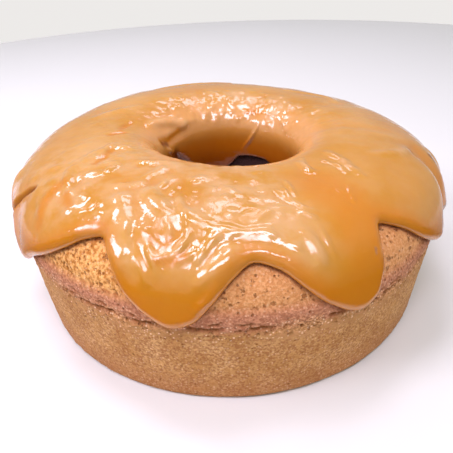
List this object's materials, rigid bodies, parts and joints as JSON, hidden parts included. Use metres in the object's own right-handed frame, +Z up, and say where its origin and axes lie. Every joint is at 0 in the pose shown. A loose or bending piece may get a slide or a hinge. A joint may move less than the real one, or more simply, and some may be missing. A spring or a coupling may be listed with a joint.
{
  "type": "churro cake",
  "caption": "Ring cake with a thick glossy caramel (dulce de leche) topping that covers the crown, runs into the centre hole and hangs down the side in drips; a whole cake to serve and slice.",
  "frame": {"origin": "The centre of the cake's flat base, on the surface that it stands on.", "axes": "+Z up through the hole in the middle, -Y towards the side with the long middle drip (the front), +X to the right of someone facing that side."},
  "size_m": [0.2495, 0.249, 0.0961],
  "materials": {
    "baked_crumb": "matte",
    "caramel": "gloss"
  },
  "bodies": {
    "root": {"baked_ring": "baked_crumb", "caramel_topping": "caramel"}
  },
  "joints": []
}
